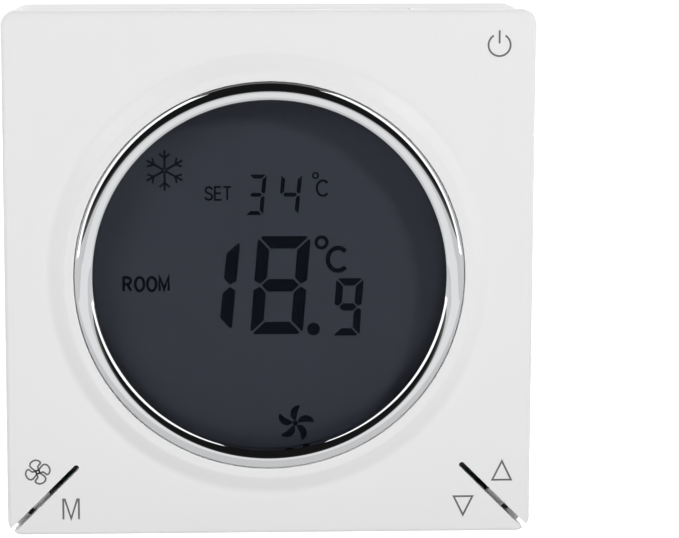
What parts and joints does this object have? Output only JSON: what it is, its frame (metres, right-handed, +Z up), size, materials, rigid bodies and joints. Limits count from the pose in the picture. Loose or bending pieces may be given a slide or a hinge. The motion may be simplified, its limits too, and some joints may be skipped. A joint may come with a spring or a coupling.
{
  "type": "wall thermostat",
  "caption": "Square wall thermostat: round display in a bright ring, springing corner keys, snap-off front module, and a base whose box fits a wall box.",
  "frame": {"origin": "centre of the base flange's wall face, midway between the two mounting screws", "axes": "+X right and +Z up as seen from the room, +Y into the wall"},
  "size_m": [0.086, 0.0461, 0.086],
  "materials": {
    "white_plastic": "fine satin",
    "dark_plastic": "fine texture",
    "chrome": "polished",
    "smoked_window": "polished",
    "display_glass": "polished",
    "film": "smooth",
    "foam": "foam",
    "black_plastic": "moulded",
    "clear_plastic": "clear",
    "white_film": "smooth",
    "contact_rubber": "striped",
    "led_body": "moulded",
    "board": "solder mask",
    "chip": "moulded",
    "steel": "zinc plated",
    "pin_metal": "plated",
    "sensor": "glass bead",
    "relay_case": "moulded",
    "core": "taped",
    "can_sleeve": "shrink sleeve",
    "fuse_sleeve": "smooth",
    "varistor_coat": "dipped",
    "film_case": "moulded",
    "terminal_case": "moulded"
  },
  "bodies": {
    "base": {"rear_housing": "dark_plastic", "snap_tongues": "dark_plastic", "base_cover": "dark_plastic", "power_board": "board", "socket_header": "black_plastic", "relays": "relay_case", "transformer": "core", "filter_capacitors": "can_sleeve", "fuse": "fuse_sleeve", "varistor": "varistor_coat", "film_capacitor": "film_case", "terminal_block": "terminal_case", "terminal_clamps": "steel", "terminal_screws": "steel", "power_board_screws": "steel", "mounting_screws": "steel"},
    "front_module": {"front_plate": "white_plastic", "chrome_ring": "chrome", "window_lens": "smoked_window", "lens_gasket": "foam", "lcd_cell": "display_glass", "lcd_polarizer_front": "film", "lcd_polarizer_rear": "film", "lcd_frame": "black_plastic", "light_guide": "clear_plastic", "reflector_sheet": "white_film", "zebra_strip": "contact_rubber", "backlight_leds": "led_body", "control_board": "board", "microcontroller": "chip", "board_passives": "chip", "tact_switches": "steel", "pin_header": "black_plastic", "header_pins": "pin_metal", "temperature_sensor": "sensor", "mid_frame": "white_plastic", "module_screws": "steel"},
    "power_key": {"power_key": "white_plastic"},
    "power_stem": {"power_stem": "black_plastic"},
    "fan_key": {"fan_key": "white_plastic"},
    "fan_stem": {"fan_stem": "black_plastic"},
    "mode_key": {"mode_key": "white_plastic"},
    "mode_stem": {"mode_stem": "black_plastic"},
    "down_key": {"down_key": "white_plastic"},
    "down_stem": {"down_stem": "black_plastic"},
    "up_key": {"up_key": "white_plastic"},
    "up_stem": {"up_stem": "black_plastic"}
  },
  "joints": [
    {"name": "front_release", "type": "slide", "parent": "base", "child": "front_module", "axis": [0, -1, 0], "range_m": [0, 0.03], "deforming": ["snap_tongues"]},
    {"name": "power_hinge", "type": "hinge", "parent": "front_module", "child": "power_key", "pos_m": [0.0327, -0.018, 0.0327], "axis": [-0.7071, 0, 0.7071], "range_deg": [0, 2], "stiffness_Nm_per_rad": 0.25},
    {"name": "power_stem_slide", "type": "slide", "parent": "front_module", "child": "power_stem", "axis": [0, 1, 0], "range_m": [0, 0.00025]},
    {"name": "fan_hinge", "type": "hinge", "parent": "front_module", "child": "fan_key", "pos_m": [-0.0322, -0.018, -0.0322], "axis": [0.5792, 0, -0.8152], "range_deg": [0, 2], "stiffness_Nm_per_rad": 0.25},
    {"name": "fan_stem_slide", "type": "slide", "parent": "front_module", "child": "fan_stem", "axis": [0, 1, 0], "range_m": [0, 0.00025]},
    {"name": "mode_hinge", "type": "hinge", "parent": "front_module", "child": "mode_key", "pos_m": [-0.0322, -0.018, -0.0322], "axis": [0.8152, 0, -0.5792], "range_deg": [0, 2], "stiffness_Nm_per_rad": 0.25},
    {"name": "mode_stem_slide", "type": "slide", "parent": "front_module", "child": "mode_stem", "axis": [0, 1, 0], "range_m": [0, 0.00025]},
    {"name": "down_hinge", "type": "hinge", "parent": "front_module", "child": "down_key", "pos_m": [0.0322, -0.018, -0.0322], "axis": [0.8152, 0, 0.5792], "range_deg": [0, 2], "stiffness_Nm_per_rad": 0.25},
    {"name": "down_stem_slide", "type": "slide", "parent": "front_module", "child": "down_stem", "axis": [0, 1, 0], "range_m": [0, 0.00025]},
    {"name": "up_hinge", "type": "hinge", "parent": "front_module", "child": "up_key", "pos_m": [0.0322, -0.018, -0.0322], "axis": [0.5792, 0, 0.8152], "range_deg": [0, 2], "stiffness_Nm_per_rad": 0.25},
    {"name": "up_stem_slide", "type": "slide", "parent": "front_module", "child": "up_stem", "axis": [0, 1, 0], "range_m": [0, 0.00025]}
  ],
  "couplings": [
    {"joint": "power_stem_slide", "follows": "power_hinge", "m_per_rad": 0.006364},
    {"joint": "fan_stem_slide", "follows": "fan_hinge", "m_per_rad": 0.005771},
    {"joint": "mode_stem_slide", "follows": "mode_hinge", "m_per_rad": 0.005771},
    {"joint": "down_stem_slide", "follows": "down_hinge", "m_per_rad": 0.005771},
    {"joint": "up_stem_slide", "follows": "up_hinge", "m_per_rad": 0.005771}
  ]
}
